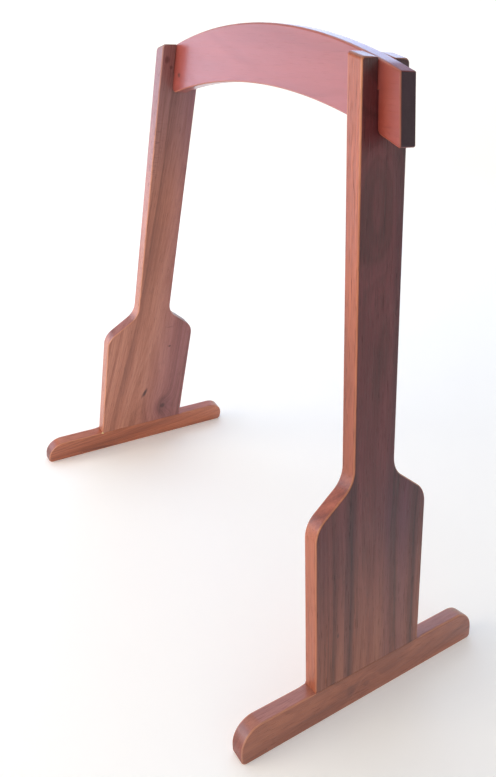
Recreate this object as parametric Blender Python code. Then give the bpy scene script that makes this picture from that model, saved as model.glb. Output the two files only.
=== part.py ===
"""Knock-down hardwood frame stand: two splayed uprights on long feet, joined by an arched top rail.

Metres, +Z up. The origin is on the floor, midway between the feet. X runs along the rail, and Y from the
front to the back. Each end frame is drawn in its own plane, under an empty that leans by SPLAY: there, local
X is the depth through the board, local Y is world Y, and local Z runs up the slope of the board.
"""

from math import atan2, ceil, cos, pi, radians, sin, sqrt, tan

import bmesh
import bpy
from mathutils import Vector

BOARD = 0.019            # every board is dressed to this thickness
SPLAY = radians(10.8)    # lean of each upright towards the middle
FLOOR_SPAN = 0.5985      # between the inner faces of the feet, at the floor
GAP = 0.0003             # between pieces that touch

UPRIGHT_TOP = 0.6705     # height of the uprights at the inner edge of their tops
TOP_FALL = 0.229         # slope of each top, down towards the outside, in line with the arch
NECK_WIDTH = 0.057
BASE_WIDTH = 0.157
SHOULDER_LOW = 0.239     # up the slope, where the wide part ends
SHOULDER_HIGH = 0.277    # up the slope, where the neck starts
SHOULDER_RADIUS = 0.030
TOP_CORNER_RADIUS = 0.004

FOOT_HEIGHT = 0.039
FOOT_LENGTH = 0.354
FOOT_NOSE_RADIUS = 0.027
FOOT_HEEL_RADIUS = 0.006

RAIL_CROWN = 0.694       # height of the rail's upper edge at the middle
RAIL_DEPTH = 0.059       # at the middle
UPPER_RADIUS = 0.660     # of the rail's upper edge
LOWER_RADIUS = 0.722
RAIL_TOP_HALF = 0.219    # from the middle to the upper corner of an end
RAIL_END_LEAN = radians(13.5)
NOTCH_MOUTH_RADIUS = 0.006
HALVING_HEIGHT = 0.639   # where the slot in the upright ends and the notch in the rail starts

DOWEL_RADIUS = 0.004
DOWEL_LENGTH = 0.060
DOWEL_IN_FOOT = 0.026
DOWEL_SPREAD = 0.045     # of each dowel from the middle of the foot
DOWEL_SIDES = 16
DOWEL_CHAMFER = 0.001

EASE = 0.0025            # rounding of the boards' long edges
ARC_STEP = radians(15)
RAIL_ARC_STEPS = 14      # along each stretch of the rail's curve
SMOOTH_ANGLE = radians(30)  # faces that meet at less than this are shaded as one

SIDES = {"left": -1, "right": 1}


def rounded(corners):
    """Outline through (x, y, radius) corners, in order, with an arc in place of each one whose radius isn't 0."""
    outline = []
    for index, (x, y, radius) in enumerate(corners):
        corner = Vector((x, y))
        if radius == 0:
            outline.append(corner)
            continue
        before = (Vector(corners[index - 1][:2]) - corner).normalized()
        after = (Vector(corners[(index + 1) % len(corners)][:2]) - corner).normalized()
        half = before.angle(after) / 2
        centre = corner + (before + after).normalized() * (radius / sin(half))
        first = corner + before * (radius / tan(half)) - centre
        last = corner + after * (radius / tan(half)) - centre
        start = atan2(first.y, first.x)
        turn = (atan2(last.y, last.x) - start + pi) % (2 * pi) - pi
        steps = max(2, ceil(abs(turn) / ARC_STEP))
        for step in range(steps + 1):
            angle = start + turn * step / steps
            outline.append(centre + Vector((cos(angle), sin(angle))) * radius)
    return outline


def prism(outline, place, depths):
    """bmesh of an outline between two depths. place(point, depth) gives each corner's position."""
    bm = bmesh.new()
    layers = [[bm.verts.new(place(point, depth)) for point in outline] for depth in depths]
    bm.faces.new(layers[0])
    bm.faces.new(layers[1])
    for index in range(len(outline)):
        following = (index + 1) % len(outline)
        bm.faces.new((layers[0][index], layers[0][following], layers[1][following], layers[1][index]))
    bmesh.ops.recalc_face_normals(bm, faces=bm.faces)
    return bm


def wood(name, colour, roughness):
    material = bpy.data.materials.new(name)
    material.use_nodes = True
    shader = material.node_tree.nodes["Principled BSDF"]
    shader.inputs["Base Color"].default_value = (*colour, 1)
    shader.inputs["Roughness"].default_value = roughness
    shader.inputs["Metallic"].default_value = 0
    return material


def add_node(name, bm, material, parent=None):
    mesh = bpy.data.meshes.new(name)
    bm.to_mesh(mesh)
    bm.free()
    mesh.shade_smooth()
    mesh.set_sharp_from_angle(angle=SMOOTH_ANGLE)
    mesh.materials.append(material)
    node = bpy.data.objects.new(name, mesh)
    node.parent = parent
    bpy.context.scene.collection.objects.link(node)
    return node


def ease_edges(node, kept_sharp=lambda first, second: False):
    """Rounds the long edges, apart from those that the given test picks out by their two ends."""
    mesh = node.data
    weights = mesh.attributes.new("bevel_weight_edge", "FLOAT", "EDGE")
    corner_angle = radians(35)
    bm = bmesh.new()
    bm.from_mesh(mesh)
    for index, edge in enumerate(bm.edges):
        ends = [vert.co for vert in edge.verts]
        turns = edge.calc_face_angle(0) > corner_angle
        weights.data[index].value = float(turns and not kept_sharp(*ends))
    bm.free()
    bevel = node.modifiers.new("eased_edges", "BEVEL")
    bevel.limit_method = "WEIGHT"
    bevel.width = EASE
    bevel.segments = 2


def end_frame(side):
    """The leaning empty that one upright and its foot are drawn under."""
    empty = bpy.data.objects.new(f"end_frame_{side}", None)
    empty.location = (SIDES[side] * FLOOR_SPAN / 2, 0, 0)
    empty.rotation_euler = (0, -SIDES[side] * SPLAY, 0)
    bpy.context.scene.collection.objects.link(empty)
    return empty


def up_slope(height, depth):
    """Distance up the slope, at a depth through the board, of a place at this height."""
    return (height - depth * sin(SPLAY)) / cos(SPLAY)


def slope_to_world(depth, slope):
    """World X and Z, on the right-hand side, of a place in the right end frame."""
    x = FLOOR_SPAN / 2 + depth * cos(SPLAY) - slope * sin(SPLAY)
    return x, depth * sin(SPLAY) + slope * cos(SPLAY)


HALVING_SLOPE = up_slope(HALVING_HEIGHT, BOARD / 2)
TOP_SLOPE = up_slope(UPRIGHT_TOP, 0)
SLOT_HALF = BOARD / 2 + GAP


def make_upright(side, frame, material):
    half_base, half_neck = BASE_WIDTH / 2, NECK_WIDTH / 2
    right_half = [
        (half_base, FOOT_HEIGHT + GAP, 0),
        (half_base, SHOULDER_LOW, SHOULDER_RADIUS),
        (half_neck, SHOULDER_HIGH, SHOULDER_RADIUS),
        (half_neck, TOP_SLOPE, TOP_CORNER_RADIUS),
        (SLOT_HALF, TOP_SLOPE, 0),
        (SLOT_HALF, HALVING_SLOPE, 0),
    ]
    mirrored = [(-y, slope, radius) for y, slope, radius in reversed(right_half)]
    near_top = TOP_SLOPE - 2 * TOP_CORNER_RADIUS

    def place(point, depth):
        height = UPRIGHT_TOP - TOP_FALL * depth / cos(SPLAY)
        drop = TOP_SLOPE - up_slope(height, depth) if point.y > near_top else 0
        return SIDES[side] * depth, point.x, point.y - drop

    def on_foot(first, second):
        return max(first.z, second.z) < FOOT_HEIGHT + 2 * GAP

    bm = prism(rounded(right_half + mirrored), place, (0, BOARD))
    upright = add_node(f"upright_{side}", bm, material, frame)
    ease_edges(upright, on_foot)
    return upright


def make_foot(side, frame, material):
    half_length, half_base = FOOT_LENGTH / 2, BASE_WIDTH / 2
    corners = [
        (-half_length, 0, FOOT_HEEL_RADIUS),
        (half_length, 0, FOOT_HEEL_RADIUS),
        (half_length, FOOT_HEIGHT, FOOT_NOSE_RADIUS),
        (half_base, FOOT_HEIGHT, 0),
        (-half_base, FOOT_HEIGHT, 0),
        (-half_length, FOOT_HEIGHT, FOOT_NOSE_RADIUS),
    ]

    def place(point, depth):
        drop = depth * tan(SPLAY) if point.y < 1.01 * FOOT_HEEL_RADIUS else 0
        return SIDES[side] * depth, point.x, point.y - drop

    def under_upright(first, second):
        on_top = min(first.z, second.z) > FOOT_HEIGHT - GAP
        return on_top and max(abs(first.y), abs(second.y)) < half_base + GAP

    bm = prism(rounded(corners), place, (0, BOARD))
    foot = add_node(f"foot_{side}", bm, material, frame)
    ease_edges(foot, under_upright)
    return foot


def upper_edge(x):
    """Height of the rail's upper edge, at a distance x from the middle."""
    return RAIL_CROWN - UPPER_RADIUS + sqrt(UPPER_RADIUS**2 - x**2)


def lower_edge(x):
    """Height of the rail's lower edge, at a distance x from the middle."""
    return RAIL_CROWN - RAIL_DEPTH - LOWER_RADIUS + sqrt(LOWER_RADIUS**2 - x**2)


def on_lower_edge(depth):
    """World X and Z where a line up the slope, at this depth of the right end frame, meets the lower edge."""
    slope = HALVING_SLOPE
    for _ in range(20):
        x, z = slope_to_world(depth, slope)
        slope -= (z - lower_edge(x)) / cos(SPLAY)
    return slope_to_world(depth, slope)


def make_rail(material):
    top_corner = (RAIL_TOP_HALF, upper_edge(RAIL_TOP_HALF))
    end_x = RAIL_TOP_HALF + RAIL_DEPTH * tan(RAIL_END_LEAN)
    low_corner = (end_x, lower_edge(end_x))
    inner_mouth = on_lower_edge(-GAP)
    outer_mouth = on_lower_edge(BOARD + GAP)
    inner_seat = slope_to_world(-GAP, HALVING_SLOPE + GAP)
    outer_seat = slope_to_world(BOARD + GAP, HALVING_SLOPE + GAP)

    spans = [inner_mouth[0] * step / RAIL_ARC_STEPS for step in range(1, RAIL_ARC_STEPS)]
    half = [(x, lower_edge(x), 0) for x in spans]
    half.append((*inner_mouth, NOTCH_MOUTH_RADIUS))
    half += [(*inner_seat, 0), (*outer_seat, 0)]
    half.append((*outer_mouth, NOTCH_MOUTH_RADIUS))
    half += [(*low_corner, 0), (*top_corner, 0)]
    spans = [top_corner[0] * (1 - step / RAIL_ARC_STEPS) for step in range(1, RAIL_ARC_STEPS)]
    half += [(x, upper_edge(x), 0) for x in spans]
    mirrored = [(-x, z, radius) for x, z, radius in reversed(half)]
    corners = [(0, lower_edge(0), 0), *half, (0, RAIL_CROWN, 0), *mirrored]

    def place(point, depth):
        return point.x, depth, point.y

    bm = prism(rounded(corners), place, (-BOARD / 2, BOARD / 2))
    rail = add_node("top_rail", bm, material)
    ease_edges(rail)


def peg(bm, radius, length, chamfer):
    """Adds to bm a peg that stands on its own origin, with chamfered ends."""
    levels = [(0, radius - chamfer), (chamfer, radius), (length - chamfer, radius), (length, radius - chamfer)]
    rings = []
    for height, ring_radius in levels:
        angles = [2 * pi * step / DOWEL_SIDES for step in range(DOWEL_SIDES)]
        rings.append([bm.verts.new((ring_radius * cos(a), ring_radius * sin(a), height)) for a in angles])
    bm.faces.new(rings[0])
    bm.faces.new(rings[-1])
    for low, high in zip(rings, rings[1:]):
        for index in range(DOWEL_SIDES):
            following = (index + 1) % DOWEL_SIDES
            bm.faces.new((low[index], low[following], high[following], high[index]))
    bmesh.ops.recalc_face_normals(bm, faces=bm.faces)


def make_dowel(side, end, frame, material, drilled):
    """One glued dowel, and its holes in the pieces it joins."""
    base = (SIDES[side] * BOARD / 2, end * DOWEL_SPREAD, FOOT_HEIGHT - DOWEL_IN_FOOT)
    name = f"dowel_{side}_{'back' if end > 0 else 'front'}"
    bm = bmesh.new()
    peg(bm, DOWEL_RADIUS, DOWEL_LENGTH, DOWEL_CHAMFER)
    dowel = add_node(name, bm, material, frame)
    dowel.location = base

    bm = bmesh.new()
    peg(bm, DOWEL_RADIUS + GAP, DOWEL_LENGTH + 2 * GAP, DOWEL_CHAMFER)
    hole = add_node(f"{name}_hole", bm, material, frame)
    hole.location = (base[0], base[1], base[2] - GAP)
    hole.hide_render = True
    hole.display_type = "WIRE"
    for node in drilled:
        drill = node.modifiers.new(name, "BOOLEAN")
        drill.operation = "DIFFERENCE"
        drill.object = hole


for old in list(bpy.data.objects):
    bpy.data.objects.remove(old)

for side in SIDES:
    frame = end_frame(side)
    upright = make_upright(side, frame, wood(f"upright_{side}", (0.30, 0.105, 0.055), 0.45))
    foot = make_foot(side, frame, wood(f"foot_{side}", (0.33, 0.10, 0.05), 0.42))
    dowel_wood = wood(f"dowel_{side}", (0.62, 0.42, 0.24), 0.7)
    for end in (-1, 1):
        make_dowel(side, end, frame, dowel_wood, (upright, foot))
make_rail(wood("top_rail", (0.42, 0.13, 0.09), 0.35))
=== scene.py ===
"""Looks of the knock-down hardwood frame stand: boards, finish, floor, light and camera.

Metres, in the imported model's frame. The boards of each end are drawn in the plane of that end: local X is
the depth through the board, Y is the width and Z runs up the slope. The grain of every board is worked out
from the same three measures, taken along that board: through, across and along.
"""

from math import atan2, ceil, cos, pi, radians, sin, sqrt, tan

import bmesh
import bpy
from mathutils import Matrix, Vector


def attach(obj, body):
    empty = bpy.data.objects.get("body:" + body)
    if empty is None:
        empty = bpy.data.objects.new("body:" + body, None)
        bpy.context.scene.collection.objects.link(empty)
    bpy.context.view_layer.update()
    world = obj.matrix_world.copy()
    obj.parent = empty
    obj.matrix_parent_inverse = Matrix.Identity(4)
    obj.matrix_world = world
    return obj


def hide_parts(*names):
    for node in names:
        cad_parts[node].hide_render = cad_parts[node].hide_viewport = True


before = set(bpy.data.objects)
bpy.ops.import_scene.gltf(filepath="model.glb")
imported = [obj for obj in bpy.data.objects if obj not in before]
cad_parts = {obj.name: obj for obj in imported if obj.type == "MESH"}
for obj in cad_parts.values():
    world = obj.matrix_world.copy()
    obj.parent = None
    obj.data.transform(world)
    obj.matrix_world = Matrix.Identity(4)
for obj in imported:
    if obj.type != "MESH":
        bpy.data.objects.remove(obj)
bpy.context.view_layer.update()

# Sizes of the CAD model.
BOARD = 0.019
SPLAY = radians(10.8)
FLOOR_SPAN = 0.5985
GAP = 0.0003
UPRIGHT_TOP = 0.6705
TOP_FALL = 0.229
NECK_WIDTH = 0.057
BASE_WIDTH = 0.157
SHOULDER_LOW = 0.239
SHOULDER_HIGH = 0.277
SHOULDER_RADIUS = 0.030
TOP_CORNER_RADIUS = 0.004
FOOT_HEIGHT = 0.039
FOOT_LENGTH = 0.354
FOOT_NOSE_RADIUS = 0.027
FOOT_HEEL_RADIUS = 0.006
RAIL_CROWN = 0.694
RAIL_DEPTH = 0.059
UPPER_RADIUS = 0.660
LOWER_RADIUS = 0.722
RAIL_TOP_HALF = 0.219
RAIL_END_LEAN = radians(13.5)
NOTCH_MOUTH_RADIUS = 0.006
HALVING_HEIGHT = 0.639

# Sizes of what is drawn finer here.
ARC_STEP = radians(4)
RAIL_ARC_STEPS = 60
ROUND_OVER = 0.0023        # radius on the long arrises
ROUND_STEPS = 6
SEAM_SHARE = 0.14          # share of ROUND_OVER at the glued seams
JOINT_SHARE = 0.30         # share of it in the halving joints
END_SHARE = 0.7            # share of it on the rail's ends
CORNER_RADIUS = 0.0018     # of the rail's end corners, and more than the rounding there, or the rim folds
SLOT_LIP = 0.0010          # radius of the corners at the mouth of the slot in each upright
SEAM_MARGIN = 0.004        # height above the foot where an upright's edges are fully rounded over
FADE = 0.010               # length over which a foot's round-over runs out before the upright
FADE_STEPS = 4
MOUTH_CLEARANCE = 2.2      # room beside each notch without arc points, in notch mouth radii
MOUTH_REACH = 1.5          # room beside each notch where the round-over changes, in the same radii
JUST_OVER = 1.01
LEAST_MITRE_COSINE = 0.6   # keeps the mitre at a sharp corner from growing long
SHARP_ANGLE = radians(35)
CLOSING_STEPS = 20

SIDES = {"left": -1, "right": 1}


# ---------------------------------------------------------------- board outlines

def rounded(corners):
    """Outline through (x, y, radius) corners, in order, with an arc in place of each whose radius isn't 0."""
    outline = []
    for index, (x, y, radius) in enumerate(corners):
        corner = Vector((x, y))
        if radius == 0:
            outline.append(corner)
            continue
        before = (Vector(corners[index - 1][:2]) - corner).normalized()
        after = (Vector(corners[(index + 1) % len(corners)][:2]) - corner).normalized()
        half = before.angle(after) / 2
        centre = corner + (before + after).normalized() * (radius / sin(half))
        first = corner + before * (radius / tan(half)) - centre
        last = corner + after * (radius / tan(half)) - centre
        start = atan2(first.y, first.x)
        turn = (atan2(last.y, last.x) - start + pi) % (2 * pi) - pi
        steps = max(2, ceil(abs(turn) / ARC_STEP))
        for step in range(steps + 1):
            angle = start + turn * step / steps
            outline.append(centre + Vector((cos(angle), sin(angle))) * radius)
    return outline


def insets(outline):
    """For each corner of an outline, the way into the board, as long as a mitre of unit width."""
    turn = sum(a.x * b.y - b.x * a.y for a, b in zip(outline, outline[1:] + outline[:1]))
    ways = []
    for index, corner in enumerate(outline):
        normals = []
        for first, last in ((outline[index - 1], corner), (corner, outline[(index + 1) % len(outline)])):
            run = (last - first).normalized()
            normals.append(Vector((-run.y, run.x)) * (1 if turn > 0 else -1))
        middle = (normals[0] + normals[1]).normalized()
        ways.append(middle / max(LEAST_MITRE_COSINE, middle.dot(normals[0])))
    return ways


def board_piece(name, outline, place, depths, share_of, material, matrix):
    """A board cut to an outline, with its arrises rounded over.

    place(point, depth) gives a corner's position, share_of(point) the share of ROUND_OVER there, and depths
    are those of the two faces.
    """
    ways = insets(outline)
    shares = [share_of(point) for point in outline]
    steps = [pi / 2 * step / ROUND_STEPS for step in range(ROUND_STEPS + 1)]
    layers = [(1 - sin(angle), depths[0], 1 - cos(angle)) for angle in steps]
    layers += [(1 - sin(angle), depths[1], cos(angle) - 1) for angle in reversed(steps)]
    bm = bmesh.new()
    rings = []
    for inset, depth, sunk in layers:
        ring = []
        for point, way, share in zip(outline, ways, shares):
            radius = ROUND_OVER * share
            ring.append(bm.verts.new(place(point + way * inset * radius, depth + sunk * radius)))
        rings.append(ring)
    bm.faces.new(rings[0])
    bm.faces.new(rings[-1])
    for low, high in zip(rings, rings[1:]):
        for index in range(len(outline)):
            following = (index + 1) % len(outline)
            bm.faces.new((low[index], low[following], high[following], high[index]))
    bmesh.ops.recalc_face_normals(bm, faces=bm.faces)
    mesh = bpy.data.meshes.new(name)
    bm.to_mesh(mesh)
    bm.free()
    mesh.shade_smooth()
    mesh.set_sharp_from_angle(angle=SHARP_ANGLE)
    mesh.materials.append(material)
    piece = bpy.data.objects.new(name, mesh)
    piece.matrix_world = matrix
    bpy.context.scene.collection.objects.link(piece)
    flat_faces = piece.modifiers.new("flat_faces", "WEIGHTED_NORMAL")
    flat_faces.keep_sharp = True
    flat_faces.weight = 100
    return piece


def end_place(side):
    """Where the plane of one end frame lies."""
    place = Matrix.Rotation(-SIDES[side] * SPLAY, 4, "Y")
    place.translation = (SIDES[side] * FLOOR_SPAN / 2, 0, 0)
    return place


def up_slope(height, depth):
    """Distance up the slope, at a depth through the board, of a place at this height."""
    return (height - depth * sin(SPLAY)) / cos(SPLAY)


def slope_to_world(depth, slope):
    """World X and Z, on the right-hand side, of a place in the right end frame."""
    x = FLOOR_SPAN / 2 + depth * cos(SPLAY) - slope * sin(SPLAY)
    return x, depth * sin(SPLAY) + slope * cos(SPLAY)


HALVING_SLOPE = up_slope(HALVING_HEIGHT, BOARD / 2)
TOP_SLOPE = up_slope(UPRIGHT_TOP, 0)
SLOT_HALF = BOARD / 2 + GAP


def upright_piece(side, material):
    """An upright, which starts a glue line above its foot, with a slot that is open at the top."""
    half_base, half_neck = BASE_WIDTH / 2, NECK_WIDTH / 2
    right_half = [
        (half_base, FOOT_HEIGHT + GAP, 0),
        (half_base, FOOT_HEIGHT + SEAM_MARGIN, 0),
        (half_base, SHOULDER_LOW, SHOULDER_RADIUS),
        (half_neck, SHOULDER_HIGH, SHOULDER_RADIUS),
        (half_neck, TOP_SLOPE, TOP_CORNER_RADIUS),
        (SLOT_HALF, TOP_SLOPE, SLOT_LIP),
        (SLOT_HALF, HALVING_SLOPE, 0),
    ]
    mirrored = [(-y, slope, radius) for y, slope, radius in reversed(right_half)]
    near_top = TOP_SLOPE - 2 * TOP_CORNER_RADIUS

    def place(point, depth):
        # The top falls outwards.
        height = UPRIGHT_TOP - TOP_FALL * depth / cos(SPLAY)
        drop = TOP_SLOPE - up_slope(height, depth) if point.y > near_top else 0
        return SIDES[side] * depth, point.x, point.y - drop

    def share_of(point):
        if abs(point.x) < SLOT_HALF + 2 * SLOT_LIP:
            return JOINT_SHARE
        return SEAM_SHARE if point.y < FOOT_HEIGHT + 2 * GAP else 1

    outline = rounded(right_half + mirrored)
    return board_piece(f"board_upright_{side}", outline, place, (0, BOARD), share_of, material,
                       end_place(side))


def foot_piece(side, material):
    """A foot, whose underside is level and whose round-over runs out on each side of the upright."""
    half_length, half_base = FOOT_LENGTH / 2, BASE_WIDTH / 2
    runs_out = [(half_base + FADE * step / FADE_STEPS, FOOT_HEIGHT, 0)
                for step in range(FADE_STEPS, -1, -1)]
    corners = [
        (-half_length, 0, FOOT_HEEL_RADIUS),
        (half_length, 0, FOOT_HEEL_RADIUS),
        (half_length, FOOT_HEIGHT, FOOT_NOSE_RADIUS),
        *runs_out,
        *[(-y, z, radius) for y, z, radius in reversed(runs_out)],
        (-half_length, FOOT_HEIGHT, FOOT_NOSE_RADIUS),
    ]

    def place(point, depth):
        # The underside is level, so with depth it drops in the plane of the end, and the heels' arcs with it.
        drop = depth * tan(SPLAY) if point.y < JUST_OVER * FOOT_HEEL_RADIUS else 0
        return SIDES[side] * depth, point.x, point.y - drop

    def share_of(point):
        if point.y < FOOT_HEIGHT - GAP:
            return 1
        past_upright = max(0, min(1, (abs(point.x) - half_base) / FADE))
        return SEAM_SHARE + (1 - SEAM_SHARE) * past_upright

    return board_piece(f"board_foot_{side}", rounded(corners), place, (0, BOARD), share_of, material,
                       end_place(side))


def upper_edge(x):
    """Height of the rail's upper edge, at a distance x from the middle."""
    return RAIL_CROWN - UPPER_RADIUS + sqrt(UPPER_RADIUS**2 - x**2)


def lower_edge(x):
    """Height of the rail's lower edge, at a distance x from the middle."""
    return RAIL_CROWN - RAIL_DEPTH - LOWER_RADIUS + sqrt(LOWER_RADIUS**2 - x**2)


def on_lower_edge(depth):
    """World X and Z where a line up the slope, at this depth of the right end frame, meets the lower edge."""
    slope = HALVING_SLOPE
    for _ in range(CLOSING_STEPS):
        x, z = slope_to_world(depth, slope)
        slope -= (z - lower_edge(x)) / cos(SPLAY)
    return slope_to_world(depth, slope)


def rail_piece(material):
    """The arched rail, with a sloping notch from below for each upright."""
    top_corner = (RAIL_TOP_HALF, upper_edge(RAIL_TOP_HALF))
    end_x = RAIL_TOP_HALF + RAIL_DEPTH * tan(RAIL_END_LEAN)
    low_corner = (end_x, lower_edge(end_x))
    inner_mouth = on_lower_edge(-GAP)
    outer_mouth = on_lower_edge(BOARD + GAP)
    inner_seat = slope_to_world(-GAP, HALVING_SLOPE + GAP)
    outer_seat = slope_to_world(BOARD + GAP, HALVING_SLOPE + GAP)

    spans = [inner_mouth[0] * step / RAIL_ARC_STEPS for step in range(1, RAIL_ARC_STEPS)]
    arc_end = inner_mouth[0] - MOUTH_CLEARANCE * NOTCH_MOUTH_RADIUS
    half = [(x, lower_edge(x), 0) for x in spans if x < arc_end]
    half.append((*inner_mouth, NOTCH_MOUTH_RADIUS))
    half += [(*inner_seat, 0), (*outer_seat, 0)]
    half.append((*outer_mouth, NOTCH_MOUTH_RADIUS))
    half += [(*low_corner, CORNER_RADIUS), (*top_corner, CORNER_RADIUS)]
    spans = [top_corner[0] * (1 - step / RAIL_ARC_STEPS) for step in range(2, RAIL_ARC_STEPS)]
    half += [(x, upper_edge(x), 0) for x in spans]
    mirrored = [(-x, z, radius) for x, z, radius in reversed(half)]
    corners = [(0, lower_edge(0), 0), *half, (0, RAIL_CROWN, 0), *mirrored]

    def place(point, depth):
        return point.x, depth, point.y

    def share_of(point):
        beside = MOUTH_REACH * NOTCH_MOUTH_RADIUS
        across_notch = min(inner_mouth[0], inner_seat[0]) - beside < abs(point.x) < outer_mouth[0] + beside
        if abs(point.x) > top_corner[0] - CORNER_RADIUS:
            return END_SHARE
        if not across_notch or point.y > max(inner_seat[1], outer_seat[1]) + GAP:
            return 1
        above_mouth = max(0, min(1, (point.y - lower_edge(point.x)) / NOTCH_MOUTH_RADIUS))
        return 1 - (1 - JOINT_SHARE) * above_mouth

    return board_piece("board_top_rail", rounded(corners), place, (-BOARD / 2, BOARD / 2), share_of, material,
                       Matrix.Identity(4))


# ---------------------------------------------------------------- wood

class Graph:
    """Short names for the shader nodes that the wood is made of. Values and vectors may be sockets."""

    def __init__(self, material):
        material.use_nodes = True
        self.tree = material.node_tree
        self.shader = self.tree.nodes["Principled BSDF"]

    def node(self, kind, **settings):
        made = self.tree.nodes.new(kind)
        for key, value in settings.items():
            setattr(made, key, value)
        return made

    def feed(self, socket, value):
        if isinstance(value, bpy.types.NodeSocket):
            self.tree.links.new(value, socket)
        else:
            socket.default_value = value

    def math(self, operation, first, second=0.0, third=0.0):
        made = self.node("ShaderNodeMath", operation=operation)
        for socket, value in zip(made.inputs, (first, second, third)):
            self.feed(socket, value)
        return made.outputs[0]

    def vector(self, operation, first, second=(0, 0, 0)):
        made = self.node("ShaderNodeVectorMath", operation=operation)
        self.feed(made.inputs[0], first)
        self.feed(made.inputs[1], second)
        return made.outputs["Value" if operation in ("LENGTH", "DOT_PRODUCT") else "Vector"]

    def noise(self, place, detail=2.0, roughness=0.5):
        made = self.node("ShaderNodeTexNoise")
        self.feed(made.inputs["Vector"], place)
        made.inputs["Scale"].default_value = 1
        made.inputs["Detail"].default_value = detail
        made.inputs["Roughness"].default_value = roughness
        return made.outputs["Fac"]

    def noise_along(self, distance, detail=2.0):
        made = self.node("ShaderNodeTexNoise", noise_dimensions="1D")
        self.feed(made.inputs["W"], distance)
        made.inputs["Scale"].default_value = 1
        made.inputs["Detail"].default_value = detail
        return made.outputs["Fac"]

    def ramp(self, value, low, high, out_low=0.0, out_high=1.0):
        """Smooth step of value from low to high."""
        made = self.node("ShaderNodeMapRange", interpolation_type="SMOOTHSTEP")
        for socket, setting in zip(made.inputs, (value, low, high, out_low, out_high)):
            self.feed(socket, setting)
        return made.outputs[0]

    def palette(self, value, stops):
        made = self.node("ShaderNodeValToRGB")
        self.feed(made.inputs[0], value)
        elements = made.color_ramp.elements
        while len(elements) < len(stops):
            elements.new(0.5)
        for element, (position, colour) in zip(elements, stops):
            element.position = position
            element.color = (*colour, 1)
        return made.outputs[0]

    def mix(self, share, first, second, blend="MIX"):
        made = self.node("ShaderNodeMix", data_type="RGBA", blend_type=blend)
        self.feed(made.inputs[0], share)
        for socket, colour in ((made.inputs[6], first), (made.inputs[7], second)):
            self.feed(socket, colour if isinstance(colour, bpy.types.NodeSocket) else (*colour, 1))
        return made.outputs[2]

    def bump(self, height, distance, strength=1.0, normal=None):
        made = self.node("ShaderNodeBump")
        made.inputs["Strength"].default_value = strength
        made.inputs["Distance"].default_value = distance
        self.feed(made.inputs["Height"], height)
        if normal is not None:
            self.feed(made.inputs["Normal"], normal)
        return made.outputs[0]


def swizzled(graph, source, axes):
    """Through, across and along, as one vector, of a vector in the board's own X, Y and Z."""
    parts = graph.node("ShaderNodeSeparateXYZ")
    graph.feed(parts.inputs[0], source)
    joined = graph.node("ShaderNodeCombineXYZ")
    for socket, axis in zip(joined.inputs, axes):
        graph.feed(socket, parts.outputs["XYZ".index(axis)])
    return joined.outputs[0]


def spot(graph, place, centre, radii, turn=0.0):
    """Distance from a mark on the board's face, where 1 is its rim. turn is the mark's lean off the grain."""
    offset = graph.vector("SUBTRACT", place, (0, *centre))
    if turn:
        spun = graph.node("ShaderNodeVectorRotate", rotation_type="X_AXIS")
        graph.feed(spun.inputs["Vector"], offset)
        spun.inputs["Angle"].default_value = turn
        offset = spun.outputs[0]
    return graph.vector("LENGTH", graph.vector("MULTIPLY", offset, (0, 1 / radii[0], 1 / radii[1])))


# Cycles a metre of each noise, through, across and along the board.
WAVE = (9, 11, 2.6)        # slow wander of the growth rings
CURL = (60, 60, 9)         # quick wander of the growth rings
PATCH = (14, 16, 3.2)      # where ring lines, chatter and rubbing are strong or weak
STREAK = (26, 46, 1.9)
FIBRE = (420, 420, 9)
HAIR = (1300, 1300, 30)
PORE = (1500, 1500, 55)
BLOTCH = (7, 9, 3)
CHATTER = (150, 110, 620)
HILL = (22, 22, 9)         # low waves of a surface finished by hand
CURL_REACH = 0.0035        # distance by which the quick wander moves a ring
KNOT_PULL = 2.6            # bend of the rings round a knot, in knot radii
KNOT_FALL = 0.12           # how fast that bend dies away from the knot
BROAD_BANDS = 0.55         # colour bands a ring, in the broad figure
FINE_BANDS = 3.2           # and in the fine one
LINE_WIDTH = 0.16          # of the dark line at each ring, in rings

# How far each kind of figure moves the tone along the palette, and the weakening on the board's edges.
BROAD_TONE = 0.38
FINE_TONE = 0.40
LINE_TONE = -0.11
STREAK_TONE = 1.5
FIBRE_TONE = 0.34
HAIR_TONE = 0.18
BLOTCH_TONE = 0.35
EDGE_WEAKENING = -0.7

# Colours, multiplied in where the name says TINT.
PORE_TINT = (0.35, 0.25, 0.22)
CHATTER_TINT = (0.42, 0.36, 0.42)
HALO_TINT = (0.48, 0.36, 0.45)
# Painted shade with sky light, on faces that slope up the board.
SLOPE_SHADE_TINT = (0.64, 0.58, 0.74)
KNOT_COLOUR = (0.065, 0.015, 0.013)
SPECK_COLOUR = (0.075, 0.018, 0.016)
RUBBED_COLOUR = (0.80, 0.36, 0.20)

# From none to full, by how far the surface faces across, outwards, or along the board.
EDGE_FACING = (0.4, 0.8)
OUTER_FACING = (0.80, 0.98)
SLOPE_FACING = (0.38, 0.66)
END_FACING = (0.80, 0.97)
# An arris faces partly through the board: these are where it begins, on the edge and on the face.
ARRIS_FROM_EDGE = (0.15, 0.40)
ARRIS_FROM_FACE = (0.97, 0.80)

# Places along the board.
OUTER_BLEND = (0.02, 0.27)       # from the foot's colour to the top's, on an outer face
CHATTER_STARTS = (0.40, 0.50)
CHATTER_ENDS = (0.635, 0.60)

# Surface.
PLAIN_ROUGHNESS = 0.42
HILL_HEIGHT = 0.0016
GRAIN_HEIGHT = 0.00022
GRAIN_STRENGTH = 0.8
COAT_ROUGHNESS = 0.22
IOR = 1.5


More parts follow.
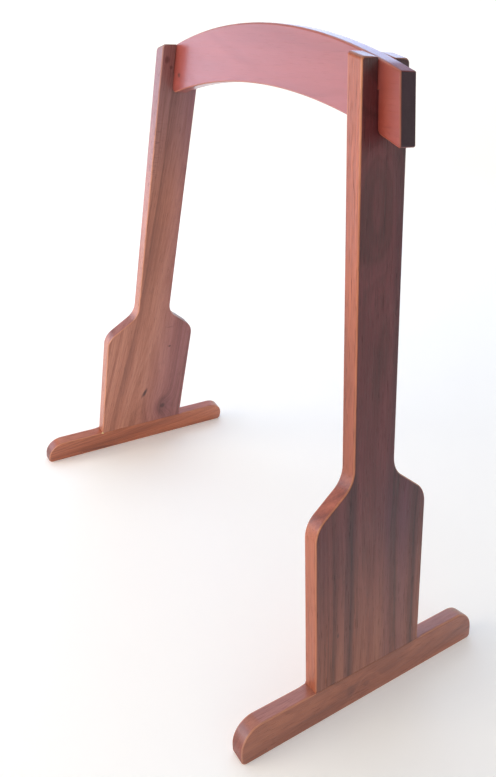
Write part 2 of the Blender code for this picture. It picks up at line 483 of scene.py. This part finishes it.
def wood(name, axes, seed, stops, heart, pitch=0.0065, figure=1.0, streaks=0.5, wander=0.02, lean=0.0,
         texture=1.0, shade_across=None, painted_light_along=None, outer=None, bands=(), knots=(), specks=(), ripple=0.0,
         coat=0.35, end_coat=0.35, end_grain_and_shade_colour=(0.60, 0.52, 0.52), rubbed=0.5):
    """Varnished hardwood. seed picks the piece of wood, and stops are the palette of its tones.

    heart is (offset, slope, bow, place, centre): how far the tree's heart lies behind the face, how that
    changes along the board from a place on it, and where across the board the heart is.
    The growth rings are rounds about that line, at the distance pitch. wander is how far they stray, and
    lean is their slope off the length of the board. figure, streaks and texture are the strengths of the
    rings, of the streaks, and of the fibres and pores.
    shade_across is (colour, from, to): painted shade and sky light, a colour that grows over the width of the
    board.
    painted_light_along is the same along it, with the share of the varnish that has gone there: painted shade
    and sky light on the left upright's top, painted warm light on the right upright's neck, and painted warm
    light reflected off the right upright onto the rail's end past it.
    outer is (side, colour at the top, colour at the foot), for an outer face of another colour: on the right
    upright it is painted shade and blue sky light over wood that is itself darker there; elsewhere another
    tone.
    bands are (centre, half width, colour), for stripes of another colour along the board.
    knots are (centre, radii, turn, depth of colour), as are specks, which the rings don't bend round.
    ripple is the strength of the plane's marks, coat and end_coat are the varnish on the faces and on the
    end grain, and rubbed is how far the finish has worn off the arrises.
    """
    material = bpy.data.materials.new(name)
    graph = Graph(material)
    found = graph.node("ShaderNodeTexCoord")
    place = swizzled(graph, found.outputs["Object"], axes)
    facing = swizzled(graph, found.outputs["Normal"], axes)
    parts = graph.node("ShaderNodeSeparateXYZ")
    graph.feed(parts.inputs[0], place)
    through, across, along = parts.outputs
    sheared = graph.node("ShaderNodeCombineXYZ")
    graph.feed(sheared.inputs[0], through)
    graph.feed(sheared.inputs[1], graph.math("MULTIPLY_ADD", along, -lean, across))
    graph.feed(sheared.inputs[2], along)
    moved = graph.vector("ADD", sheared.outputs[0], (seed, 2.3 * seed, 5.1 * seed))

    def grain(cycles, detail=2.0, roughness=0.5):
        return graph.noise(graph.vector("MULTIPLY", moved, cycles), detail, roughness)

    # Growth rings.
    offset, slope, bow, middle, centre = heart
    run = graph.math("SUBTRACT", along, middle)
    depth = graph.math("ADD", offset, graph.math("MULTIPLY", run, slope))
    depth = graph.math("ADD", depth, graph.math("MULTIPLY", graph.math("MULTIPLY", run, run), bow))
    depth = graph.math("ADD", depth, graph.math("ABSOLUTE", through))
    aside = graph.math("SUBTRACT", across, graph.math("MULTIPLY_ADD", run, lean, centre))
    square = graph.math("ADD", graph.math("MULTIPLY", depth, depth), graph.math("MULTIPLY", aside, aside))
    ring = graph.math("SQRT", square)
    wave = graph.math("SUBTRACT", grain(WAVE, 1), 0.5)
    ring = graph.math("MULTIPLY_ADD", wave, wander, ring)
    curl = graph.math("SUBTRACT", grain(CURL, 2), 0.5)
    ring = graph.math("MULTIPLY_ADD", curl, CURL_REACH, ring)
    marks = []
    for knot_centre, radii, turn, darkness in knots:
        rim = spot(graph, place, knot_centre, radii, turn)
        marks.append((rim, darkness))
        pull = graph.math("POWER", 0.5, graph.math("MULTIPLY", rim, graph.math("MULTIPLY", rim, KNOT_FALL)))
        ring = graph.math("MULTIPLY_ADD", pull, KNOT_PULL * darkness * max(radii), ring)

    broad = graph.ramp(graph.noise_along(graph.math("MULTIPLY", ring, BROAD_BANDS / pitch), 2), 0.3, 0.7)
    fine = graph.noise_along(graph.math("MULTIPLY", ring, FINE_BANDS / pitch), 2)
    fine = graph.math("SUBTRACT", fine, 0.5)
    year = graph.math("PINGPONG", graph.math("ADD", ring, graph.math("MULTIPLY", wave, 0.01)), pitch / 2)
    line = graph.ramp(year, pitch * LINE_WIDTH, 0.0)
    patch = grain(PATCH, 1)
    line = graph.math("MULTIPLY", line, graph.ramp(patch, 0.35, 0.62))

    # Streaks, fibres and pores.
    streak = graph.math("SUBTRACT", grain(STREAK, 3, 0.6), 0.5)
    fibre = graph.math("SUBTRACT", grain(FIBRE, 3, 0.6), 0.5)
    hair = graph.math("SUBTRACT", grain(HAIR, 2), 0.5)
    pores = graph.ramp(grain(PORE, 1), 0.60, 0.70)
    blotch = graph.math("SUBTRACT", grain(BLOTCH, 2), 0.5)

    edge = graph.ramp(graph.vector("LENGTH", graph.vector("MULTIPLY", facing, (0, 1, 0))), *EDGE_FACING)
    strength = graph.math("MULTIPLY_ADD", edge, EDGE_WEAKENING, 1.0)
    tone = graph.math("MULTIPLY", graph.math("SUBTRACT", broad, 0.5), BROAD_TONE * figure)
    tone = graph.math("MULTIPLY_ADD", fine, FINE_TONE * figure, tone)
    tone = graph.math("MULTIPLY_ADD", line, LINE_TONE * figure, tone)
    tone = graph.math("MULTIPLY_ADD", streak, STREAK_TONE * streaks, tone)
    tone = graph.math("MULTIPLY_ADD", tone, strength, 0.5)
    tone = graph.math("MULTIPLY_ADD", fibre, FIBRE_TONE * texture, tone)
    tone = graph.math("MULTIPLY_ADD", hair, HAIR_TONE * texture, tone)
    tone = graph.math("MULTIPLY_ADD", blotch, BLOTCH_TONE, tone)
    colour = graph.palette(tone, stops)
    # Painted shade and sky light, growing across the board towards its back.
    if shade_across:
        shade_across_colour, start, stop = shade_across
        share = graph.math("MULTIPLY_ADD", wave, 0.05, across)
        share = graph.ramp(share, start, stop)
        colour = graph.mix(share, colour, shade_across_colour, "MULTIPLY")
    colour = graph.mix(graph.math("MULTIPLY", pores, 0.40 * texture), colour, PORE_TINT, "MULTIPLY")
    for band_centre, half_width, band_colour in bands:
        off = graph.math("MULTIPLY_ADD", wave, 0.02, graph.math("SUBTRACT", across, band_centre))
        off = graph.math("MULTIPLY_ADD", curl, 0.006, off)
        share = graph.ramp(graph.math("ABSOLUTE", off), half_width, 0.25 * half_width)
        colour = graph.mix(share, colour, band_colour, "MULTIPLY")
    # A colour on one outer face: on the right upright, painted shade and blue sky light over its darker wood.
    if outer:
        outer_side, at_top, at_foot = outer
        outward = graph.vector("DOT_PRODUCT", facing, (outer_side, 0, 0))
        height = graph.ramp(graph.math("MULTIPLY_ADD", wave, 0.2, along), *OUTER_BLEND)
        outer_colour = graph.mix(height, at_foot, at_top)
        colour = graph.mix(graph.ramp(outward, *OUTER_FACING), colour, outer_colour, "MULTIPLY")
    varnish_left = None
    # Painted light along the board: shade and sky light on the left upright's top, warm light on the right
    # upright's neck, and warm light reflected onto the rail's end past the right upright, where the varnish
    # is also taken off.
    if painted_light_along:
        painted_light_colour, start, stop, dulling = painted_light_along
        share = graph.ramp(graph.math("MULTIPLY_ADD", wave, 0.02, along), start, stop)
        colour = graph.mix(share, colour, painted_light_colour, "MULTIPLY")
        if dulling:
            varnish_left = graph.math("MULTIPLY_ADD", share, -dulling, 1.0)
    if ripple:
        # Short dark marks across the grain, where the plane has chattered.
        chatter = graph.ramp(grain(CHATTER, 2), 0.50, 0.66)
        area = graph.ramp(along, *CHATTER_STARTS)
        area = graph.math("MULTIPLY", area, graph.ramp(along, *CHATTER_ENDS))
        area = graph.math("MULTIPLY", area, graph.ramp(patch, 0.34, 0.52))
        share = graph.math("MULTIPLY", graph.math("MULTIPLY", chatter, area), ripple)
        colour = graph.mix(share, colour, CHATTER_TINT, "MULTIPLY")

    # Knots, with a darker ring round each.
    for rim, darkness in marks:
        halo = graph.ramp(graph.math("MULTIPLY_ADD", fine, 1.2, rim), 4.6, 1.4)
        colour = graph.mix(graph.math("MULTIPLY", halo, 0.6 * darkness), colour, HALO_TINT, "MULTIPLY")
        core = graph.ramp(graph.math("MULTIPLY_ADD", fibre, 0.9, rim), 1.15, 0.45)
        colour = graph.mix(graph.math("MULTIPLY", core, darkness), colour, KNOT_COLOUR)
    for speck_centre, radii, turn, darkness in specks:
        rim = spot(graph, place, speck_centre, radii, turn)
        core = graph.ramp(graph.math("MULTIPLY_ADD", fibre, 1.2, rim), 1.2, 0.3)
        colour = graph.mix(graph.math("MULTIPLY", core, darkness), colour, SPECK_COLOUR)

    # Painted shade with sky light darkens the faces that slope up the board. End grain drinks more of the
    # finish and is darker, and the arrises are rubbed paler.
    lengthwise = graph.math("ABSOLUTE", graph.vector("DOT_PRODUCT", facing, (0, 0, 1)))
    slope_shade = graph.ramp(lengthwise, *SLOPE_FACING)
    colour = graph.mix(slope_shade, colour, SLOPE_SHADE_TINT, "MULTIPLY")
    end = graph.ramp(lengthwise, *END_FACING)
    # End grain is darker where it drinks the finish; on the rail and the right upright this colour also
    # paints shade and blue sky light.
    colour = graph.mix(end, colour, end_grain_and_shade_colour, "MULTIPLY")
    turned = graph.math("ABSOLUTE", graph.vector("DOT_PRODUCT", facing, (1, 0, 0)))
    off_edge = graph.ramp(turned, *ARRIS_FROM_EDGE)
    corner = graph.math("MULTIPLY", off_edge, graph.ramp(turned, *ARRIS_FROM_FACE))
    corner = graph.math("MULTIPLY", corner, graph.ramp(patch, 0.25, 0.6, 0.35, 0.8))
    colour = graph.mix(graph.math("MULTIPLY", corner, rubbed), colour, RUBBED_COLOUR)

    rough = graph.math("MULTIPLY_ADD", fibre, 0.25, PLAIN_ROUGHNESS)
    rough = graph.math("MULTIPLY_ADD", pores, 0.20 * texture, rough)
    rough = graph.math("MULTIPLY_ADD", blotch, 0.12, rough)
    rough = graph.math("MULTIPLY_ADD", end, 0.15, rough)
    height = graph.math("MULTIPLY_ADD", pores, -0.8 * texture, graph.math("MULTIPLY", hair, 0.9 * texture))
    height = graph.math("MULTIPLY_ADD", fibre, 1.1 * texture, height)
    height = graph.math("MULTIPLY_ADD", line, -0.35, height)
    normal = graph.bump(grain(HILL, 2), HILL_HEIGHT)
    normal = graph.bump(height, GRAIN_HEIGHT, GRAIN_STRENGTH, normal)

    graph.feed(graph.shader.inputs["Base Color"], colour)
    graph.feed(graph.shader.inputs["Roughness"], rough)
    graph.feed(graph.shader.inputs["Normal"], normal)
    graph.shader.inputs["Metallic"].default_value = 0.0
    graph.shader.inputs["IOR"].default_value = IOR
    varnish = coat if coat == end_coat else graph.math("MULTIPLY_ADD", end, end_coat - coat, coat)
    if varnish_left is not None:
        varnish = graph.math("MULTIPLY", varnish, varnish_left)
    graph.feed(graph.shader.inputs["Coat Weight"], varnish)
    graph.shader.inputs["Coat Roughness"].default_value = COAT_ROUGHNESS
    graph.shader.inputs["Coat IOR"].default_value = IOR
    return material


def reds(dark, middle, light):
    """Colour ramp of a board: deep, dark, middle, light and palest."""
    return [(0.05, tuple(0.55 * part for part in dark)), (0.32, dark), (0.52, middle), (0.72, light),
            (0.95, tuple(min(1, 1.18 * part) for part in light))]


UPRIGHT_AXES = ("X", "Y", "Z")
FOOT_AXES = ("X", "Z", "Y")
RAIL_AXES = ("Y", "Z", "X")

left_wood = wood(
    "wood_upright_left", UPRIGHT_AXES, 3.7,
    reds((0.315, 0.104, 0.062), (0.44, 0.158, 0.096), (0.535, 0.218, 0.140)),
    heart=(0.050, 0.05, -0.15, 0.25, 0.010), figure=0.75, streaks=0.40, wander=0.020, lean=0.08,
    # Painted shade and sky light grow across the board towards its back, and over its top.
    shade_across=((0.66, 0.58, 0.88), -0.01, 0.055), painted_light_along=((0.62, 0.68, 1.02), 0.44, 0.64, 0.0),
    knots=[((0.038, 0.072), (0.0058, 0.0068), 0.0, 0.85)], texture=1.3,
    specks=[((-0.002, 0.111), (0.0040, 0.0125), 0.42, 0.97), ((0.0375, 0.206), (0.003, 0.0025), 0.0, 0.75),
            ((0.033, 0.246), (0.007, 0.0008), 0.0, 0.6), ((-0.021, 0.664), (0.005, 0.005), 0.0, 0.6),
            ((-0.014, 0.655), (0.003, 0.0025), 0.0, 0.6)],
    outer=(-1, (1.15, 1.12, 0.80), (1.15, 1.12, 0.80)), bands=[(-0.060, 0.030, (1.08, 1.10, 1.10))],
    ripple=0.6)
right_wood = wood(
    "wood_upright_right", UPRIGHT_AXES, 8.2,
    reds((0.255, 0.066, 0.031), (0.370, 0.101, 0.048), (0.48, 0.149, 0.075)),
    heart=(0.060, 0.0, -0.085, 0.184, 0.004), figure=1.1, streaks=0.5, wander=0.008, texture=1.4,
    # The outer face is painted dark with shade and blue sky light, over wood that is darker there.
    outer=(1, (0.27, 0.175, 0.56), (0.76, 0.84, 0.98)), end_grain_and_shade_colour=(0.52, 0.56, 0.90), coat=0.25,
    # The top end is painted lavender with sky light.
    end_coat=1.0,
    knots=[((-0.001, 0.560), (0.008, 0.026), 0.0, 0.26)],
    bands=[(-0.034, 0.009, (0.66, 0.62, 0.74)), (0.026, 0.014, (0.74, 0.70, 0.86)),
           (0.046, 0.013, (0.74, 0.72, 0.94)), (0.062, 0.012, (0.82, 0.80, 0.92)),
           (-0.060, 0.010, (1.12, 1.10, 1.02))],
    # Painted warm light on the neck.
    painted_light_along=((1.14, 1.00, 0.74), 0.20, 0.30, 0.0),
    specks=[((-0.0112, 0.670), (0.0024, 0.0035), 0.0, 0.9), ((-0.048, 0.101), (0.0013, 0.0035), 0.0, 0.8),
            ((-0.037, 0.198), (0.0016, 0.003), 0.0, 0.6),
            ((-0.010, 0.26), (0.002, 0.0035), 0.0, 0.5), ((-0.038, 0.156), (0.0006, 0.118), 0.012, 0.75)])
rail_wood = wood(
    "wood_top_rail", RAIL_AXES, 1.4,
    reds((0.265, 0.047, 0.036), (0.315, 0.060, 0.046), (0.37, 0.077, 0.060)),
    heart=(0.085, 0.03, -0.05, 0.0, 0.66), figure=0.45, streaks=0.22, texture=0.35, coat=0.8,
    # Painted warm light reflected off the right upright onto the rail's end past it, where the varnish is
    # taken off.
    # The rail's ends are painted dark blue with shade and sky light.
    end_coat=0.05, end_grain_and_shade_colour=(0.22, 0.50, 1.10), rubbed=0.35, painted_light_along=((0.84, 0.62, 0.48), 0.192, 0.206, 0.95),
    specks=[((0.635, -0.1636), (0.0034, 0.0042), 0.0, 0.85)])
left_foot_wood = wood(
    "wood_foot_left", FOOT_AXES, 5.9,
    reds((0.29, 0.072, 0.030), (0.44, 0.117, 0.049), (0.56, 0.172, 0.077)),
    heart=(0.035, 0.08, 0.0, 0.0, 0.045), figure=0.8, streaks=0.4, wander=0.012, coat=0.5,
    specks=[((0.006, -0.088), (0.0035, 0.042), -0.06, 0.55)])
right_foot_wood = wood(
    "wood_foot_right", FOOT_AXES, 12.6,
    reds((0.25, 0.080, 0.050), (0.36, 0.122, 0.074), (0.46, 0.172, 0.108)),
    heart=(0.045, 0.06, 0.0, 0.0, 0.030), figure=0.7, streaks=0.4, wander=0.012,
    outer=(1, (0.92, 0.75, 0.58), (0.92, 0.75, 0.58)), coat=0.45, end_grain_and_shade_colour=(0.88, 0.62, 0.48),
    knots=[((0.0156, -0.0045), (0.0045, 0.006), 0.0, 0.35)],
    specks=[((0.017, -0.029), (0.010, 0.008), 0.0, 0.40), ((0.036, -0.172), (0.0022, 0.003), 0.0, 0.7)])
dowel_wood = wood(
    "wood_dowel", UPRIGHT_AXES, 21.0,
    reds((0.42, 0.26, 0.14), (0.56, 0.38, 0.22), (0.66, 0.47, 0.29)),
    heart=(0.020, 0.0, 0.0, 0.0, 0.0), pitch=0.0016, figure=0.6, streaks=0.3, coat=0.0,
    end_coat=0.0)


# ---------------------------------------------------------------- boards in place

WOODS = {"upright_left": left_wood, "upright_right": right_wood, "foot_left": left_foot_wood,
         "foot_right": right_foot_wood, "top_rail": rail_wood}

for side in SIDES:
    for kind, make in (("upright", upright_piece), ("foot", foot_piece)):
        node = f"{kind}_{side}"
        piece = make(side, WOODS[node])
        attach(piece, f"{side}_end")
        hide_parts(node)
piece = rail_piece(WOODS["top_rail"])
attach(piece, "rail")
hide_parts("top_rail")

for name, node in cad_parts.items():
    if name.startswith("dowel"):
        node.material_slots[0].material = dowel_wood


BEAD_RADII = (0.0016, 0.0026, 0.0012)
BEAD_DEPTH = 0.0006        # of its middle behind the upright's inner face
BEAD_SLOPE = 0.0396        # of its middle up the slope, just above the foot
GLUE_CYCLES = 900


def glue_bead(side, material):
    """A drop of glue squeezed out where the upright's front edge meets the foot."""
    bm = bmesh.new()
    bmesh.ops.create_icosphere(bm, subdivisions=3, radius=1)
    for vert in bm.verts:
        swell = 1 + 0.16 * sin(3.1 * vert.co.y + 0.7) + 0.12 * sin(4.3 * vert.co.x + 2.0 * vert.co.z)
        vert.co = [radius * part * swell for radius, part in zip(BEAD_RADII, vert.co)]
    mesh = bpy.data.meshes.new(f"glue_bead_{side}")
    bm.to_mesh(mesh)
    bm.free()
    mesh.shade_smooth()
    mesh.materials.append(material)
    bead = bpy.data.objects.new(f"glue_bead_{side}", mesh)
    spot_on_seam = (SIDES[side] * BEAD_DEPTH, -BASE_WIDTH / 2, BEAD_SLOPE)
    bead.matrix_world = end_place(side) @ Matrix.Translation(spot_on_seam)
    bpy.context.scene.collection.objects.link(bead)
    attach(bead, f"{side}_end")


glue = bpy.data.materials.new("dried_glue")
graph = Graph(glue)
coordinates = graph.node("ShaderNodeTexCoord").outputs["Object"]
cloud = graph.noise(graph.vector("MULTIPLY", coordinates, [GLUE_CYCLES] * 3), 2)
graph.feed(graph.shader.inputs["Base Color"], graph.palette(cloud, [(0.3, (0.62, 0.38, 0.17)),
                                                                    (0.7, (0.90, 0.68, 0.36))]))
graph.feed(graph.shader.inputs["Roughness"], graph.ramp(cloud, 0.2, 0.8, 0.16, 0.30))
graph.feed(graph.shader.inputs["Normal"], graph.bump(cloud, 0.0002))
glue_bead("left", glue)


# ---------------------------------------------------------------- floor

FLOOR_RADIUS = 2.6
RIM_RADIUS = 1.6
WALL_HEIGHT = 1.6          # of the straight wall above the rim
FLAT_STEPS = 8
RIM_STEPS = 24
FLOOR_SIDES = 96


def floor_dish():
    """A round floor that curves up all round into a wall."""
    profile = [(FLOOR_RADIUS * step / FLAT_STEPS, 0.0) for step in range(1, FLAT_STEPS + 1)]
    for step in range(1, RIM_STEPS + 1):
        angle = pi / 2 * step / RIM_STEPS
        profile.append((FLOOR_RADIUS + RIM_RADIUS * sin(angle), RIM_RADIUS * (1 - cos(angle))))
    profile.append((FLOOR_RADIUS + RIM_RADIUS, RIM_RADIUS + WALL_HEIGHT))
    bm = bmesh.new()
    middle = bm.verts.new((0, 0, 0))
    rings = []
    for radius, height in profile:
        angles = [2 * pi * step / FLOOR_SIDES for step in range(FLOOR_SIDES)]
        rings.append([bm.verts.new((radius * cos(a), radius * sin(a), height)) for a in angles])
    for index in range(FLOOR_SIDES):
        following = (index + 1) % FLOOR_SIDES
        bm.faces.new((middle, rings[0][index], rings[0][following]))
        for low, high in zip(rings, rings[1:]):
            bm.faces.new((low[index], high[index], high[following], low[following]))
    mesh = bpy.data.meshes.new("floor")
    bm.to_mesh(mesh)
    bm.free()
    mesh.shade_smooth()
    floor = bpy.data.objects.new("floor", mesh)
    bpy.context.scene.collection.objects.link(floor)
    return floor


floor = floor_dish()
floor_paint = bpy.data.materials.new("floor_paint")
graph = Graph(floor_paint)
graph.shader.inputs["Base Color"].default_value = (0.94, 0.92, 0.87, 1)
graph.shader.inputs["Roughness"].default_value = 0.9
graph.shader.inputs["Specular IOR Level"].default_value = 0.1
graph.shader.inputs["Emission Color"].default_value = (1.0, 0.99, 0.97, 1)
graph.shader.inputs["Emission Strength"].default_value = 0.16
floor.data.materials.append(floor_paint)


# ---------------------------------------------------------------- light

def panel(name, place, towards, width, height, watts, colour):
    """A soft rectangular light, seen only by what it lights."""
    lamp = bpy.data.lights.new(name, "AREA")
    lamp.shape = "RECTANGLE"
    lamp.size = width
    lamp.size_y = height
    lamp.energy = watts
    lamp.color = colour
    panel_object = bpy.data.objects.new(name, lamp)
    panel_object.location = place
    look = Vector(towards) - Vector(place)
    panel_object.rotation_euler = look.to_track_quat("-Z", "Y").to_euler()
    panel_object.visible_camera = False
    bpy.context.scene.collection.objects.link(panel_object)


panel("key", (-0.4, -2.2, 1.0), (0.0, 0.0, 0.35), 1.6, 1.2, 36, (1.0, 0.89, 0.74))
panel("low_sky", (-1.35, -1.0, 0.55), (0.1, 0.1, 0.45), 1.7, 1.1, 11, (0.54, 0.66, 1.0))
panel("back_sky", (-1.7, 1.6, 1.7), (0.0, 0.0, 0.4), 1.8, 1.2, 10, (0.22, 0.45, 1.0))
panel("overhead", (-0.6, -0.1, 2.9), (-0.4, -0.1, 0.0), 2.2, 2.2, 18, (0.84, 0.90, 1.0))
panel("wall_wash", (-1.8, 0.6, 2.8), (-3.6, 1.9, 0.6), 2.8, 2.0, 40, (0.90, 0.95, 1.0))

world = bpy.data.worlds.new("surroundings")
world.use_nodes = True
world.node_tree.nodes["Background"].inputs["Color"].default_value = (0.80, 0.84, 1.0, 1)
world.node_tree.nodes["Background"].inputs["Strength"].default_value = 0.25
bpy.context.scene.world = world
bpy.context.scene.view_settings.view_transform = "Standard"


# ---------------------------------------------------------------- camera

# Found by fitting to the photograph, together with the sizes of the stand.
CAMERA_PLACE = (0.64124, -0.44649, 0.66351)
HEADING = radians(148.36)
PITCH = radians(-26.40)
ROLL = radians(2.78)

forward = Vector((cos(PITCH) * cos(HEADING), cos(PITCH) * sin(HEADING), sin(PITCH)))
level = Vector((sin(HEADING), -cos(HEADING), 0))
right = cos(ROLL) * level + sin(ROLL) * level.cross(forward)
up = right.cross(forward)
lens = bpy.data.cameras.new("camera")
lens.lens = 29.79
lens.sensor_width = 36
lens.shift_x = 0.0574
lens.shift_y = -0.0222
lens.clip_start = 0.01
camera = bpy.data.objects.new("camera", lens)
camera.matrix_world = Matrix((
    (right.x, up.x, -forward.x, CAMERA_PLACE[0]),
    (right.y, up.y, -forward.y, CAMERA_PLACE[1]),
    (right.z, up.z, -forward.z, CAMERA_PLACE[2]),
    (0, 0, 0, 1),
))
bpy.context.scene.collection.objects.link(camera)
bpy.context.scene.camera = camera
